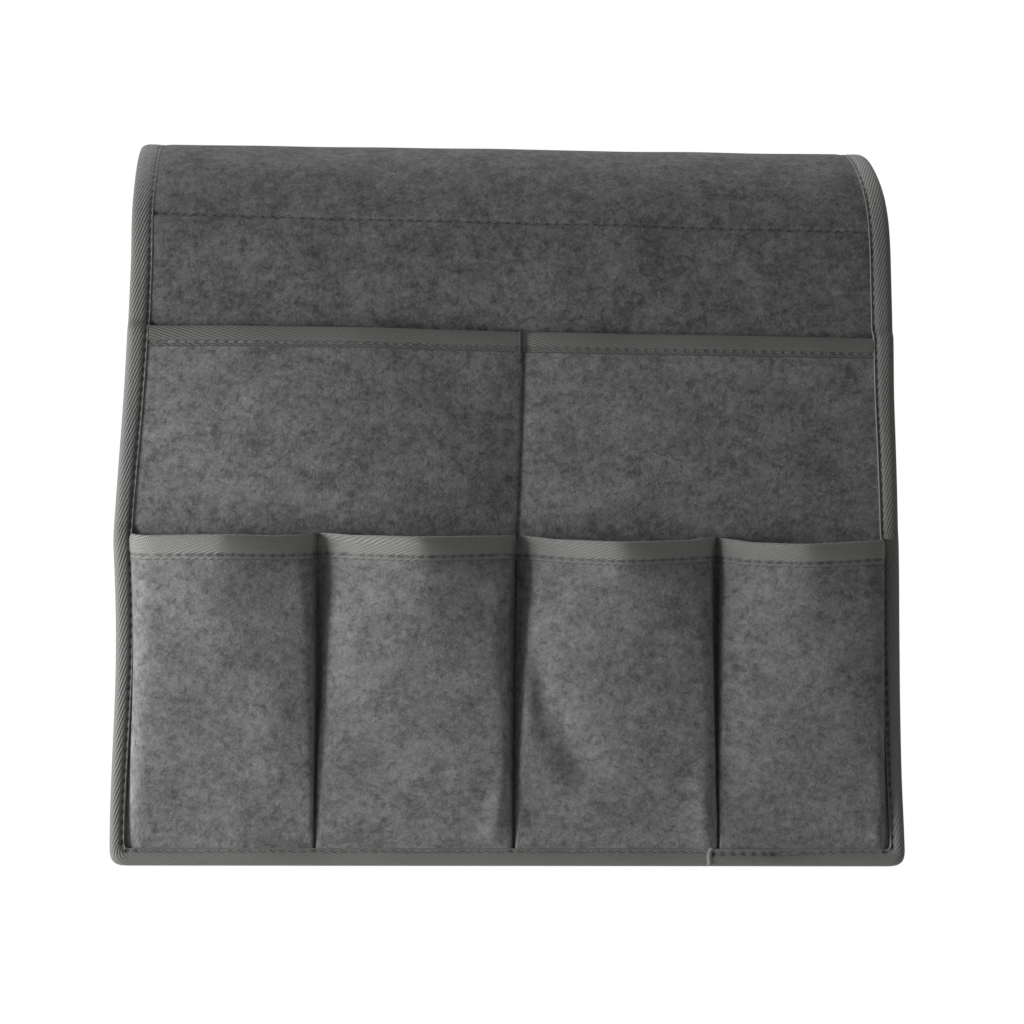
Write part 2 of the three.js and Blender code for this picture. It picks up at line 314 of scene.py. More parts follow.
# A closed sheet from the points of its outer and its inner face
def make_slab(name, outer, inner, uv, material, values=None):
    rows, columns = outer.shape[:2]
    faces = slab_faces(rows, columns)
    points = np.concatenate([outer.reshape(-1, 3), inner.reshape(-1, 3)])
    a, b, c, d = (points[faces[:, i]] for i in range(4))
    volume = (a * np.cross(b, c)).sum() + (a * np.cross(c, d)).sum()
    if volume < 0:
        faces = faces[:, ::-1]
    uv = np.tile(uv.reshape(-1, 2), (2, 1))
    values = {key: np.tile(value.ravel(), 2) for key, value in (values or {}).items()}
    return make_piece(name, points, faces.tolist(), uv, material, values)


def line_length(points):
    steps = np.linalg.norm(np.diff(points, axis=0), axis=1)
    return np.concatenate([[0], np.cumsum(steps)])


THREAD_SIDES = 6
THREAD_RINGS = 6
THREAD_RISE = 1.1
THREAD_DIP = 0.6
THREAD_END = 0.6


# Faces of a closed tube that runs through rings of points
def tube_faces(base, rings, sides):
    faces = []
    for i in range(rings - 1):
        low = base + i * sides
        high = low + sides
        for j in range(sides):
            k = (j + 1) % sides
            faces.append((low + j, low + k, high + k, high + j))
    last = base + (rings - 1) * sides
    faces.append(tuple(base + j for j in reversed(range(sides))))
    faces.append(tuple(last + j for j in range(sides)))
    return faces


# Rings of points for a row of thread: each stitch is a short raised loop whose ends dip into the cloth
def stitch_rings(line, normal, pitch, length, radius):
    t = np.linspace(0, 1, THREAD_RINGS)
    turn = np.arange(THREAD_SIDES) * 2 * math.pi / THREAD_SIDES
    run = line_length(line)
    starts = np.arange(FIRST_STITCH * pitch, run[-1] - length, pitch)
    place = starts[:, None] + t * length
    middle = np.stack([np.interp(place, run, line[:, i]) for i in range(3)], -1)
    up = np.stack([np.interp(place, run, normal[:, i]) for i in range(3)], -1)
    up /= np.linalg.norm(up, axis=-1, keepdims=True)
    side = np.cross(np.gradient(middle, axis=1), up)
    side /= np.linalg.norm(side, axis=-1, keepdims=True)
    arch = np.sin(math.pi * t)[:, None]
    middle = middle + up * radius * (THREAD_RISE * arch - THREAD_DIP)
    thick = radius * lerp(THREAD_END, 1, arch)[:, :, None]
    ring = np.cos(turn)[:, None] * up[:, :, None] + np.sin(turn)[:, None] * side[:, :, None]
    ring = middle[:, :, None] + thick * ring
    along = np.broadcast_to(place[:, :, None], ring.shape[:3])
    around = np.broadcast_to(turn * radius, ring.shape[:3])
    return ring, np.stack([along, around], -1)


def make_stitches(name, rows, material, pitch=STITCH_PITCH, length=STITCH_LENGTH, radius=THREAD_RADIUS):
    points, faces, uv = [], [], []
    count = 0
    for line, normal in rows:
        rings, flat = stitch_rings(line, normal, pitch, length, radius)
        points.append(rings.reshape(-1, 3))
        uv.append(flat.reshape(-1, 2))
        for _ in rings:
            faces += tube_faces(count, THREAD_RINGS, THREAD_SIDES)
            count += THREAD_RINGS * THREAD_SIDES
    return make_piece(name, np.concatenate(points), faces, np.concatenate(uv), material)


# Materials


def add_node(tree, kind, inputs=None, **settings):
    node = tree.nodes.new(kind)
    for key, value in settings.items():
        setattr(node, key, value)
    for socket, value in (inputs or {}).items():
        if isinstance(value, bpy.types.NodeSocket):
            tree.links.new(value, node.inputs[socket])
        else:
            node.inputs[socket].default_value = value
    return node


def new_material(name, roughness, sheen=0.0, specular=0.3):
    material = bpy.data.materials.new(name)
    material.use_nodes = True
    tree = material.node_tree
    shader = tree.nodes["Principled BSDF"]
    looks = {"Roughness": roughness, "Sheen Weight": sheen, "Specular IOR Level": specular}
    for socket, value in looks.items():
        shader.inputs[socket].default_value = value
    return material, tree, shader


def flat_uv(tree):
    return add_node(tree, "ShaderNodeUVMap", uv_map="flat").outputs["UV"]


def point_value(tree, name):
    return add_node(tree, "ShaderNodeAttribute", attribute_name=name).outputs["Fac"]


def noise(tree, vector, scale, detail=3.0, roughness=0.55, distortion=0.0):
    inputs = {
        "Vector": vector,
        "Scale": scale,
        "Detail": detail,
        "Roughness": roughness,
        "Distortion": distortion,
    }
    return add_node(tree, "ShaderNodeTexNoise", inputs).outputs["Fac"]


def math_node(tree, operation, a, b=0.0):
    return add_node(tree, "ShaderNodeMath", {0: a, 1: b}, operation=operation).outputs[0]


def plus(tree, a, b):
    return math_node(tree, "ADD", a, b)


def times(tree, a, b):
    return math_node(tree, "MULTIPLY", a, b)


def sine(tree, a):
    return math_node(tree, "SINE", a)


def mix_colour(tree, factor, a, b):
    return add_node(tree, "ShaderNodeMix", {0: factor, 6: a, 7: b}, data_type="RGBA").outputs[2]


def dot(tree, vector, weights):
    node = add_node(tree, "ShaderNodeVectorMath", {0: vector, 1: weights}, operation="DOT_PRODUCT")
    return node.outputs["Value"]


def paint(tree, shader, colour):
    tree.links.new(colour, shader.inputs["Base Color"])


def add_bump(tree, shader, height, strength, distance):
    bump = add_node(tree, "ShaderNodeBump", {"Height": height, "Strength": strength, "Distance": distance})
    tree.links.new(bump.outputs["Normal"], shader.inputs["Normal"])


def ramp(tree, value, low, high, kind="SMOOTHSTEP"):
    inputs = {"Value": value, "From Min": low, "From Max": high}
    return add_node(tree, "ShaderNodeMapRange", inputs, interpolation_type=kind).outputs["Result"]


def grey(level, red=1.0, green=1.0, blue=1.0):
    return (level * red, level * green, level * blue, 1.0)


# Flat coordinates turned and then squeezed, so that a noise over them runs out into streaks
def streaked(tree, uv, angle, stretch):
    turn = {"Vector": uv, "Rotation": (0, 0, angle)}
    turned = add_node(tree, "ShaderNodeMapping", turn).outputs["Vector"]
    squeeze = {"Vector": turned, "Scale": (1.0, stretch, 1.0)}
    return add_node(tree, "ShaderNodeMapping", squeeze).outputs["Vector"]


# Thin winding lines where a noise passes its middle value, kept only in some patches
def curls(tree, uv, scale, thin, patches, keep):
    winding = noise(tree, uv, scale, detail=1.0, roughness=0.5, distortion=1.0)
    off = math_node(tree, "ABSOLUTE", math_node(tree, "SUBTRACT", winding, 0.5))
    line = ramp(tree, off, thin, 0.0)
    patch = ramp(tree, noise(tree, uv, patches, detail=1.0), keep, keep + 0.1)
    return times(tree, line, patch)


FIBRE_ANGLES = (0.35, 1.45, 2.5)
CLOUD_SPREAD = 0.44


# Wool-look felt: cloudy mottling, then dark specks, light specks, dark curls and light streaks over it
def felt_material(name, tint, level, contrast):
    material, tree, shader = new_material(name, 0.95, sheen=0.06, specular=0.2)
    uv = flat_uv(tree)
    clouds = noise(tree, uv, 56.0, detail=6.0, roughness=1.0)
    specks = noise(tree, uv, 300.0, detail=2.0, roughness=0.7, distortion=0.5)
    grain = noise(tree, uv, 1700.0, detail=2.0, roughness=0.6)
    fibres = [
        noise(tree, streaked(tree, uv, angle, 3.5), 230.0, detail=2.0, roughness=0.5, distortion=0.8)
        for angle in FIBRE_ANGLES
    ]
    lint = plus(tree, math_node(tree, "MINIMUM", fibres[0], fibres[1]), fibres[2])
    dark = grey(level * (1 - CLOUD_SPREAD * contrast), *tint)
    light = grey(level * (1 + CLOUD_SPREAD * contrast), *tint)
    colour = mix_colour(tree, ramp(tree, clouds, 0.36, 0.64, "LINEAR"), dark, light)
    marks = [
        (ramp(tree, specks, 0.52, 0.72), 0.5 * contrast, 0.36),
        (ramp(tree, specks, 0.46, 0.26), 0.4 * contrast, 1.75),
        (curls(tree, uv, 210.0, 0.022, 130.0, 0.48), 0.4 * contrast, 0.3),
        (ramp(tree, lint, 0.98, 1.25), 0.2, 1.6),
    ]
    for cover, strength, tone in marks:
        cover = times(tree, cover, strength)
        colour = mix_colour(tree, cover, colour, grey(level * tone, *tint))
    paint(tree, shader, colour)
    height = plus(tree, times(tree, grain, 0.25), lint)
    add_bump(tree, shader, height, 0.5, 0.35 * MM)
    return material


RIB_PITCH = 1.15 * MM
RIB_ANGLE = math.radians(20)
RIB_DEPTH = 0.14 * MM
YARN_PER_RIB = 1.9
TAPE_TINT = (1.0, 1.0, 0.95)
PLY_WAVE = 9000
LINING_PITCH = 0.9 * MM


# Twill tape: ribs at a low slant to its length, fine yarn within them, and painted shade where it is sewn
# down
def twill_material(name, level, roughness, specular):
    material, tree, shader = new_material(name, roughness, sheen=0.05, specular=specular)
    uv = flat_uv(tree)
    wave = 2 * math.pi / RIB_PITCH
    c, s = math.cos(RIB_ANGLE), math.sin(RIB_ANGLE)
    waver = times(tree, noise(tree, uv, 160.0, detail=2.0), 1.4)
    phase = plus(tree, dot(tree, uv, (s * wave, -c * wave, 0)), waver)
    yarn = dot(tree, uv, (c * wave * YARN_PER_RIB, s * wave * YARN_PER_RIB, 0))
    yarn = times(tree, sine(tree, yarn), 0.3)
    weave = plus(tree, sine(tree, phase), yarn)
    lint = noise(tree, uv, 900.0, roughness=0.6)
    dark = grey(level * 0.9, *TAPE_TINT)
    light = grey(level * 1.1, *TAPE_TINT)
    cloth = mix_colour(tree, ramp(tree, weave, -1.3, 1.3), dark, light)
    cloth = mix_colour(tree, ramp(tree, lint, 0.3, 0.75), cloth, grey(level * 0.97, 1.0, 1.0, 0.96))
    # Painted shade: the "groove" value darkens the cloth nearly to black in the sewn groove, most at the
    # needle holes, and along the lip edge of the mouth tapes
    paint(tree, shader, mix_colour(tree, point_value(tree, "groove"), cloth, grey(0.025)))
    height = plus(tree, weave, times(tree, lint, 0.8))
    add_bump(tree, shader, height, 0.9, times(tree, point_value(tree, "ribs"), RIB_DEPTH))
    return material


# Sewing thread: two tones that follow the twist of its plies
def thread_material(name, dark, light):
    material, tree, shader = new_material(name, 0.6, sheen=0.1)
    ply = sine(tree, dot(tree, flat_uv(tree), (PLY_WAVE, PLY_WAVE, 0)))
    paint(tree, shader, mix_colour(tree, ramp(tree, ply, -1.0, 1.0), grey(dark), grey(light)))
    add_bump(tree, shader, ply, 0.5, 0.05 * MM)
    return material


# Plain-woven dark cloth of the grip lining
def lining_material():
    material, tree, shader = new_material("grip_cloth", 0.85, sheen=0.1)
    uv = flat_uv(tree)
    wave = 2 * math.pi / LINING_PITCH
    yarns = [sine(tree, dot(tree, uv, way)) for way in ((wave, 0, 0), (0, wave, 0))]
    weave = times(tree, *yarns)
    slub = noise(tree, uv, 220.0)
    colour = mix_colour(tree, ramp(tree, weave, -1.0, 1.0), grey(0.030), grey(0.062))
    colour = mix_colour(tree, ramp(tree, slub, 0.35, 0.7), colour, grey(0.045, 1.0, 1.0, 1.05))
    paint(tree, shader, colour)
    add_bump(tree, shader, weave, 0.6, 0.12 * MM)
    return material


def rubber_material():
    material, tree, shader = new_material("grip_rubber", 0.5, specular=0.5)
    bloom = noise(tree, flat_uv(tree), 300.0)
    paint(tree, shader, mix_colour(tree, bloom, grey(0.018), grey(0.04)))
    add_bump(tree, shader, bloom, 0.3, 0.1 * MM)
    return material


# Pale cut yarn ends where the tape's two ends lap
def fray_material():
    material, tree, shader = new_material("frayed_end", 0.85, sheen=0.2)
    yarn = noise(tree, flat_uv(tree), 2600.0, roughness=0.6)
    tones = grey(0.13, *TAPE_TINT), grey(0.24, *TAPE_TINT)
    paint(tree, shader, mix_colour(tree, ramp(tree, yarn, 0.3, 0.7), *tones))
    add_bump(tree, shader, yarn, 0.8, 0.2 * MM)
    return material


def floor_material():
    material, tree, shader = new_material("pale_floor", 0.8)
    place = add_node(tree, "ShaderNodeTexCoord").outputs["Object"]
    paint(tree, shader, mix_colour(tree, noise(tree, place, 3.0), grey(0.74), grey(0.80)))
    return material


# The main strip's felt is set darker than the panel's, and the panel's darker than the pockets': partly
# their own tint, partly painted shade on the upper parts
MAIN_FELT = felt_material("main_felt", (1.03, 0.985, 0.99), 0.088, 1.3)
PANEL_FELT_LOOK = felt_material("panel_felt", (1.01, 0.995, 1.0), 0.113, 1.2)
POCKET_FELT_LOOK = felt_material("pocket_felt", (0.995, 0.995, 1.02), 0.128, 1.08)
# The three tapes are one twill: its level is raised on the pocket tapes as painted light and lowered on the
# panel's mouth tape as painted shade
EDGE_TWILL = twill_material("edge_twill", 0.127, 0.65, 0.3)
UPPER_TWILL = twill_material("upper_twill", 0.108, 0.85, 0.15)
LOWER_TWILL = twill_material("lower_twill", 0.148, 0.5, 0.6)
SEAM_THREAD = thread_material("seam_thread", 0.035, 0.075)
TAPE_THREAD = thread_material("tape_thread", 0.070, 0.110)
LINING = lining_material()
RUBBER = rubber_material()
FRAY = fray_material()


# Where each piece lies on the endless pattern of its cloth, so that no two show the same marks
PANEL_CUT = 0.7
UPPER_TAPE_CUT = 0.9
EDGE_TAPE_CUT = 0.02
POCKET_CUT = 1.5
POCKET_CUT_STEP = 0.11
LOWER_TAPE_CUT = 0.05
LOWER_TAPE_CUT_STEP = 0.13

# How finely the sheets are divided, and how close extra rows lie to a sewn line
GRID_STEP = 4 * MM
CROSS_STEP = 0.024
NEAR_STEPS = [step * MM for step in (0.4, 1.0, 1.7, 2.4, 3.2)]
LEAST_STEP = 0.1 * MM

# Felt strip and lining
PRESS_RUN = 3 * MM
ROW_TILT = (2.3 * MM, -2.1 * MM)
ROW_SUNK = 0.7 * MM
LINING_BOTTOM = 0.35 * MM
DOT_SEAT = 0.4 * MM
DOT_RINGS = ((1.0, 0.0), (0.75, 0.65), (0.35, 0.95))
DOT_SIDES = 8
DOT_ROW_PITCH = DOT_PITCH * 0.87


# Half the width of the strip, less an inset, with its rounded hem corners
def layer_half(along, inset):
    reach = CORNER_REACH - inset
    to_hem = np.minimum(along, STRIP_LENGTH - along)
    past = np.clip((CORNER_REACH - to_hem) / reach, 0, 1)
    return HALF_WIDTH - CORNER_REACH + reach * (1 - past**CORNER_SQUARENESS) ** (1 / CORNER_SQUARENESS)


# Even places from one value to another, with extra ones close to some lines
def places(low, high, step, near=(), spread=NEAR_STEPS):
    values = list(np.linspace(low, high, max(2, round((high - low) / step) + 1)))
    for line in near:
        values += [line] + [line + side * gap for gap in spread for side in (-1, 1)]
    values = np.array(sorted(v for v in values if low <= v <= high))
    keep = np.concatenate([[True], np.diff(values) > LEAST_STEP])
    return values[keep]


# A sewn row draws the cloth in a little
def sewn_dip(distance, depth=0.8 * MM, width=1.0 * MM):
    return depth * np.exp(-((distance / width) ** 2))


# The sewn row across the strip rises from its right end to its left end
def row_tilt(across):
    return lerp(*ROW_TILT, (across + HALF_WIDTH) / (2 * HALF_WIDTH))


def cloth_half(name, low, high, rows_near):
    along = places(low, high, GRID_STEP, [*rows_near, STRIP_LENGTH - TAPE_REACH])
    t = places(-1, 1, CROSS_STEP)
    s, t = np.meshgrid(along, t, indexing="ij")
    x = t * layer_half(s, FELT_INSET)
    dip = sum(sewn_dip(s - row - row_tilt(x)) for row in rows_near)
    to_edge = np.minimum(HALF_WIDTH - np.abs(x), np.minimum(s, STRIP_LENGTH - s))
    dip = dip + EDGE_PRESS * smooth((TAPE_REACH + PRESS_RUN - to_edge) / PRESS_RUN)
    outer = drape(x, s, FELT_TOP - dip)
    inner = drape(x, s, FELT_BOTTOM)
    return make_slab(name, outer, inner, np.stack([x, s], -1), MAIN_FELT)


def lining_half(name, low, high):
    along = places(low, high, GRID_STEP)
    x = places(-LINING_HALF, LINING_HALF, GRID_STEP)
    s, x = np.meshgrid(along, x, indexing="ij")
    outer = drape(x, s, LINING_TOP)
    inner = drape(x, s, LINING_BOTTOM)
    return make_slab(name, outer, inner, np.stack([x, s], -1), LINING)


# Small rubber domes on the underside of the lining, in staggered rows
def grip_dots(name, low, high):
    points, faces = [], []
    for row, s in enumerate(np.arange(low + DOT_PITCH, high - DOT_PITCH / 2, DOT_ROW_PITCH)):
        start = -LINING_HALF + DOT_PITCH * (1 + 0.5 * (row % 2))
        for x in np.arange(start, LINING_HALF - DOT_PITCH / 2, DOT_PITCH):
            faces += [face[::-1] for face in tube_faces(len(points), len(DOT_RINGS), DOT_SIDES)]
            for size, rise in DOT_RINGS:
                for j in range(DOT_SIDES):
                    turn = j * 2 * math.pi / DOT_SIDES
                    across = x + DOT_RADIUS * size * math.cos(turn)
                    along = s + DOT_RADIUS * size * math.sin(turn)
                    points.append((across, along, DOT_SEAT - DOT_HEIGHT * rise))
    flat = np.array(points)
    return make_piece(name, drape(*flat.T), faces, flat[:, :2], RUBBER)


# Flat pocket panel


def panel_seat(along):
    lift = smooth((along - (UPPER_MOUTH - MOUTH_LIFT_RUN)) / MOUTH_LIFT_RUN)
    return FELT_TOP + SEWN_GAP + MOUTH_LIFT * lift


# How far the panel stands out: each pocket is fullest a little below its mouth
def panel_belly(across, along):
    is_left = across < PANEL_SEAM
    left = np.where(is_left, -PANEL_SIDE, PANEL_SEAM)
    right = np.where(is_left, PANEL_SEAM, PANEL_SIDE)
    t = np.clip((2 * across - left - right) / (right - left), -1, 1)
    full, at_mouth, ridge = (np.where(is_left, *pair) for pair in zip(*UPPER_BELLIES))
    off_ridge = np.where(t < ridge, (ridge - t) / (1 + ridge), (t - ridge) / (1 - ridge))
    rise = smooth((along - BELLY_START) / (BELLY_FULL - BELLY_START))
    close = lerp(1, at_mouth, smooth((along - BELLY_FULL) / (UPPER_MOUTH - BELLY_FULL)))
    return full * (1 - off_ridge**2) * rise * close


# How far the panel hangs lower where it stands out, and higher at its left than at its right
def panel_sag(across, along):
    share = np.where(across < PANEL_SEAM, *PANEL_SAGS)
    tilt = PANEL_TILT * (HALF_WIDTH - across) / (2 * HALF_WIDTH)
    return share * panel_belly(across, along) - tilt * smooth(along / UPPER_MOUTH)


def panel_inner(across, along):
    return panel_seat(along) + panel_belly(across, along)


def panel_outer(across, along):
    return panel_inner(across, along) + PANEL_FELT


# How far the dividing seam draws the panel in: sharply on its left, and in a long slope on its right
def seam_pull(across):
    gap = across - PANEL_SEAM
    return SEAM_PULL * np.where(gap < 0, np.exp(gap / SEAM_LEFT_RUN), np.exp(-gap / SEAM_RIGHT_RUN))


def upper_panel():
    along = places(FELT_INSET, UPPER_MOUTH - FELT_INSET, GRID_STEP)
    full = HALF_WIDTH - FELT_INSET
    across = places(-full, full, GRID_STEP, [PANEL_SEAM], SEAM_STEPS)
    s, t = np.meshgrid(along, across / full, indexing="ij")
    x = t * layer_half(s, FELT_INSET)
    hung = s - panel_sag(x, s)
    outer = drape(x, hung, panel_outer(x, s) - seam_pull(x))
    inner = drape(x, hung, panel_inner(x, s))
    uv = np.stack([x + PANEL_CUT, s], -1)
    return make_slab("upper_pocket_panel_felt", outer, inner, uv, PANEL_FELT_LOOK)


# Columns of a tape's section: the sewn groove of its front and the middle of its fold
SEWN_COLUMN = 4
FOLD_COLUMN = 14
FOLD_POINTS = 13
FOLD_POWER = 0.9
BACK_BEAD = 0.5
MOUTH_BACK_BEAD = 0.8


# Section of a folded tape, from the tip of its front lip round the fold to the tip of its back lip:
# distance in from the folded edge, share from the front to the back, lift off the cloth, and share of the
# sewn groove, which sinks the needle holes and sets their painted shade
def tape_section(width, lip, bead=BEAD_LIFT, back_bead=BACK_BEAD):
    width, lip = np.broadcast_arrays(np.asarray(width, float), np.asarray(lip, float))
    crest = np.minimum(BEAD_MIDDLE, 0.5 * (width - lip))
    groove = width - lip
    front = [
        (width, 0.0, 0),
        (width - 0.2 * MM, 0.42, 0),
        (width - np.minimum(0.4 * lip, 0.7 * MM), 0.52, 0),
        (groove + np.minimum(0.4 * lip, 0.5 * MM), 0.34, 0.75),
        (groove, 0.16, 1),
        (groove - 0.55 * MM, 0.38, 0.75),
        (groove - 1.1 * MM, 0.72, 0),
        (lerp(crest, groove, 0.4), 0.92, 0),
        (crest, 1.0, 0),
    ]
    rows = [(d, 0 * d, lift * bead + 0 * d, dark + 0 * d) for d, lift, dark in front]
    for turn in np.linspace(0, math.pi, FOLD_POINTS)[1:-1]:
        share = (1 - math.cos(turn)) / 2
        lift = lerp(bead, bead * back_bead, share)
        d = crest * (1 - math.sin(turn) ** FOLD_POWER)
        rows.append((d, share + 0 * d, lift + 0 * d, 0 * d))
    for d, lift, dark in reversed(front):
        rows.append((d, 1 + 0 * d, lift * bead * back_bead + 0 * d, dark + 0 * d))
    return [np.stack(column, -1) for column in zip(*rows)]


# Where the needle went in along a row of points: at the middle of each gap between two stitches
def needle_holes(row):
    first = FIRST_STITCH * STITCH_PITCH
    off = (line_length(row) - first - (STITCH_PITCH + STITCH_LENGTH) / 2) % STITCH_PITCH
    return np.minimum(off, STITCH_PITCH - off) < HOLE_REACH


# The sewn groove of a tape sinks at the needle holes, and its painted shade is dark there and faint between
# them
def sewn_groove(groove, lift, hole, between):
    return groove * np.where(hole, 1.0, between), lift - HOLE_DEPTH * groove * hole


# The shade along the edge of a mouth tape's lip
def lip_shade(d, width):
    return LIP_SHADE * (d > width - LIP_EDGE)


# Height of a tape's outer and inner face from the front and the back of the cloth that it binds, and how far
# its inner face is tucked in at the fold
def tape_heights(front, back, share, lift):
    high = lerp(front + lift, back - lift, share)
    return high, high - TAPE_CLOTH * np.cos(np.pi * share), TAPE_CLOTH * np.sin(np.pi * share)


# Edge tape

STACK_RAMP = 5 * MM
STACK_START = 4 * MM


# Height of the front of the layers that the edge tape binds
def sewn_stack(along):
    panel = panel_seat(np.minimum(along, UPPER_MOUTH)) + PANEL_FELT
    upper = smooth((along - UPPER_MOUTH) / STACK_RAMP)
    lower = smooth((along - LOWER_MOUTH + STACK_START) / TAPE_REACH)
    return lerp(panel, FELT_TOP - EDGE_PRESS, upper) + POCKET_SEWN * (1 - lower)


EDGE_WIDTH_PLACES = (20, 100, 150, 230, 360)
EDGE_WIDTHS = (6.5, 7.8, 8.2, 9.4, 9.0)
EDGE_LIP = 1.0 * MM
# How dark the painted shade of the edge tape's sewn groove is between the needle holes, on the sides and on
# the hem
EDGE_GROOVE_SHADES = (0.4, 0.15)
EDGE_RIBS = (0.9, 0.5)
HEM_RIBS = 0.25
LIP_RIBS = 0.4
HEM_TAPE_WIDTH = 7.2 * MM
HEM_BEAD = 0.55
TOP_BEAD = 0.45
TOP_BEAD_START = 200 * MM
TOP_BEAD_RUN = 110 * MM
LAP_PLACE = 83 * MM
LAP_STRAIGHT = 5 * MM
LAP_SLANT = 0.42
LAP_LIFT = 0.3 * MM
LAP_LENGTH = 22 * MM
LAP_EDGE = 0.5 * MM
LAP_RUN_OUT = 8 * MM
LAP_LIP = 1.2 * MM
LAP_LIP_FADE = 40 * MM
LAP_STEPS = np.arange(0.25, 3.2, 0.25) * MM
CORNER_POINTS = 26


# Where the lapped end of the tape lies on the hem: straight near the fold, then slanting
def lap_line(inward):
    return LAP_PLACE + LAP_SLANT * np.maximum(inward - LAP_STRAIGHT, 0)


# How far out the edge of a rounded corner lies
def corner_edge(turn):
    c, s = math.cos(turn), math.sin(turn)
    return CORNER_REACH / (c**CORNER_SQUARENESS + s**CORNER_SQUARENESS) ** (1 / CORNER_SQUARENESS)


def corner_steps(middle, side, turns):
    steps = []
    for turn in turns:
        out_x, out_s = side * math.cos(turn), -math.sin(turn)
        steps.append((middle, CORNER_REACH, out_x, out_s, corner_edge(turn), turn / (math.pi / 2)))
    return steps


# The flat path of the tape round one drop, which begins and ends at the middle of the top: for each step
# the point at its inner side, the direction outwards, how far out the edge is, and how far it has turned
# to the hem
def edge_path(length):
    down = np.append(np.arange(length, CORNER_REACH, -STITCH_STEP), CORNER_REACH)
    inner = HALF_WIDTH - CORNER_REACH
    hem = places(-inner, inner, STITCH_STEP, [LAP_PLACE], LAP_STEPS)
    turns = np.linspace(0, math.pi / 2, CORNER_POINTS)[1:-1]
    steps = [(-inner, s, -1, 0, CORNER_REACH, 0) for s in down]
    steps += corner_steps(-inner, -1, turns)
    steps += [(x, CORNER_REACH, 0, -1, CORNER_REACH, 1) for x in hem]
    steps += corner_steps(inner, 1, turns[::-1])
    steps += [(inner, s, 1, 0, CORNER_REACH, 0) for s in down[::-1]]
    return np.array(steps)


def edge_width(along, hem):
    side_width = np.interp(along / MM, EDGE_WIDTH_PLACES, EDGE_WIDTHS) * MM
    return lerp(side_width, HEM_TAPE_WIDTH, smooth(hem))


# How far the tape bulges: less along the front hem, and less towards the top of the arm
def edge_bead(along, hem, is_front):
    hem_bead = lerp(1, HEM_BEAD, smooth(hem)) if is_front else 1.0
    return BEAD_LIFT * hem_bead * lerp(1, TOP_BEAD, smooth((along - TOP_BEAD_START) / TOP_BEAD_RUN))


# Width of the lip past the stitches, which is wider just past the lapped end
def edge_lip(across, hem, is_front):
    lapped = (hem == 1) & (across > LAP_PLACE) & is_front
    fade = 1 - smooth((across - LAP_PLACE - LAP_LENGTH) / LAP_LIP_FADE)
    return np.where(lapped, EDGE_LIP + LAP_LIP * fade, EDGE_LIP)


# How far the lapped end lies above the other end of the tape
def lap_rise(across, inward, hem):
    past_lap = across - lap_line(inward)
    rise = smooth(past_lap / LAP_EDGE) * (1 - smooth((past_lap - LAP_LENGTH) / LAP_RUN_OUT))
    return LAP_LIFT * (hem == 1) * rise


def edge_tape(name, is_front):
    steps = edge_path(MID_TOP if is_front else STRIP_LENGTH - MID_TOP)
    x0, s0, out_x, out_s, edge, hem = steps.T[:, :, None]
    width = edge_width(s0, hem) if is_front else TAPE_REACH + 0 * hem
    lip = edge_lip(x0, hem, is_front)
    bead = edge_bead(s0, hem, is_front)
    d, share, lift, groove = tape_section(width[:, 0], lip[:, 0], bead[:, 0])
    reach = edge - d * edge / CORNER_REACH
    x = x0 + out_x * reach
    s = s0 + out_s * reach
    front = sewn_stack(s) if is_front else FELT_TOP - EDGE_PRESS + 0 * s
    row = drape(x[:, SEWN_COLUMN], s[:, SEWN_COLUMN], front[:, SEWN_COLUMN])
    # Painted shade in the sewn groove: dark at the needle holes, faint between them
    groove, lift = sewn_groove(groove, lift, needle_holes(row)[:, None], lerp(*EDGE_GROOVE_SHADES, hem))
    if is_front:
        lift = lift + lap_rise(x0, d, hem) * (share == 0)
    else:
        s = STRIP_LENGTH - s
        out_s = -out_s
    high, low, tuck = tape_heights(front, FELT_BOTTOM, share, lift)
    outer = drape(x, s, high)
    inner = drape(x - out_x * tuck, s - out_s * tuck, low)
    run = line_length(outer[:, FOLD_COLUMN])
    uv = np.stack([np.broadcast_to(run[:, None], x.shape), EDGE_TAPE_CUT - d], -1)
    ribs = lerp(np.where(x0 < 0, *EDGE_RIBS), HEM_RIBS, smooth(hem))
    ribs = ribs * np.where(d > width - lip, LIP_RIBS, 1.0)
    piece = make_slab(name, outer, inner, uv, EDGE_TWILL, {"groove": groove, "ribs": ribs})
    return piece, (outer[:, SEWN_COLUMN], face_normals(outer)[:, SEWN_COLUMN])


FRAY_WIDTH = 1.7 * MM
FRAY_SPAN = (0.3 * MM, 7.6 * MM)
FRAY_GRID = (30, 5)
FRAY_RAG = 0.35 * MM
FRAY_LIFT = 0.5 * MM
FRAY_OVERHANG = 0.75
FRAY_ARC = (0.12, 0.9)
FRAY_SEAT = 0.75 * LAP_LIFT
FRAY_FUZZ = 0.12 * MM
FRAY_SEED = 5


